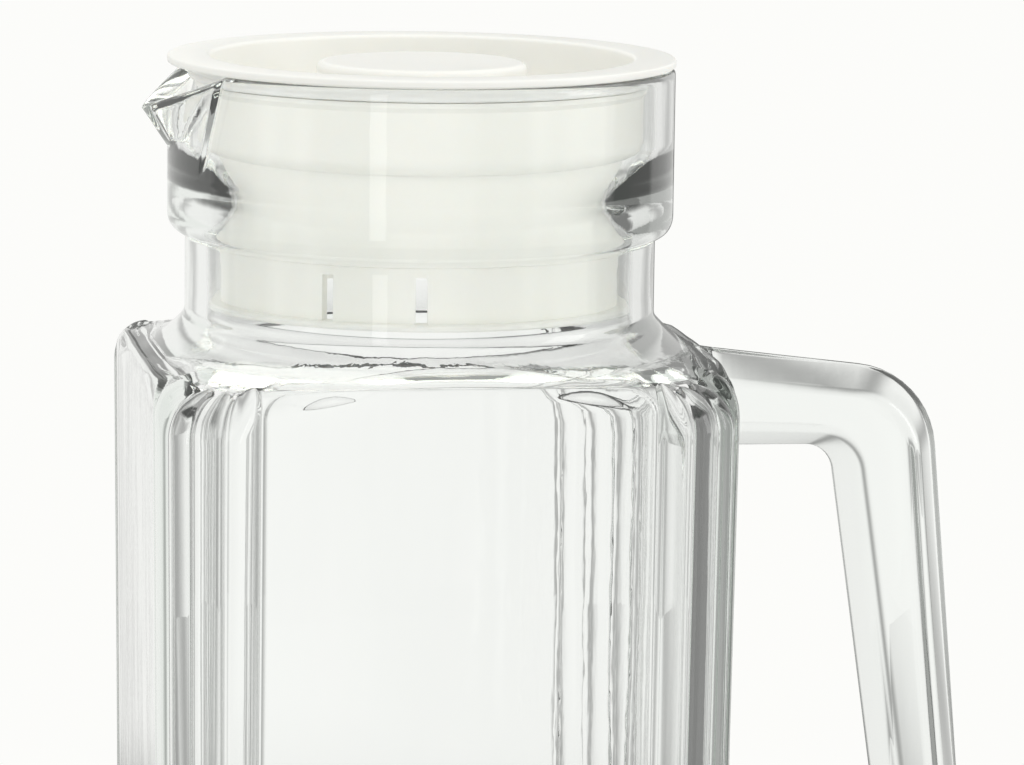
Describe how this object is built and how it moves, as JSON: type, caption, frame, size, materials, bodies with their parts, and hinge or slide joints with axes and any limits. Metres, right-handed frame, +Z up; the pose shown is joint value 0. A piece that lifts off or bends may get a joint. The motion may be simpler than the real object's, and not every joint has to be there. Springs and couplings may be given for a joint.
{
  "type": "fridge water jug",
  "caption": "Square clear glass fridge jug with ribbed corners, side handle, pouring lip and a push-in white plastic lid with a strainer sleeve.",
  "frame": {"origin": "middle of the flat base, under the neck's axis", "axes": "+Z up; -X towards the pouring lip; +X towards the handle"},
  "size_m": [0.1459, 0.0964, 0.213],
  "materials": {
    "glass": "clear pressed glass",
    "lid_plastic": "satin translucent white",
    "seal": "soft translucent white"
  },
  "bodies": {
    "jug": {"glass_body": "glass", "glass_neck": "glass", "glass_handle": "glass"},
    "seal": {"lid_seal": "seal"},
    "lid": {"lid_cap": "lid_plastic", "lid_knob": "lid_plastic", "strainer_sleeve": "lid_plastic"}
  },
  "joints": [
    {"name": "lid_lift", "type": "slide", "parent": "jug", "child": "seal", "axis": [0, 0, 1], "range_m": [0, 0.06]},
    {"name": "lid_turn", "type": "hinge", "parent": "seal", "child": "lid", "pos_m": [0, 0, 0.2], "axis": [0, 0, 1], "continuous": true}
  ]
}
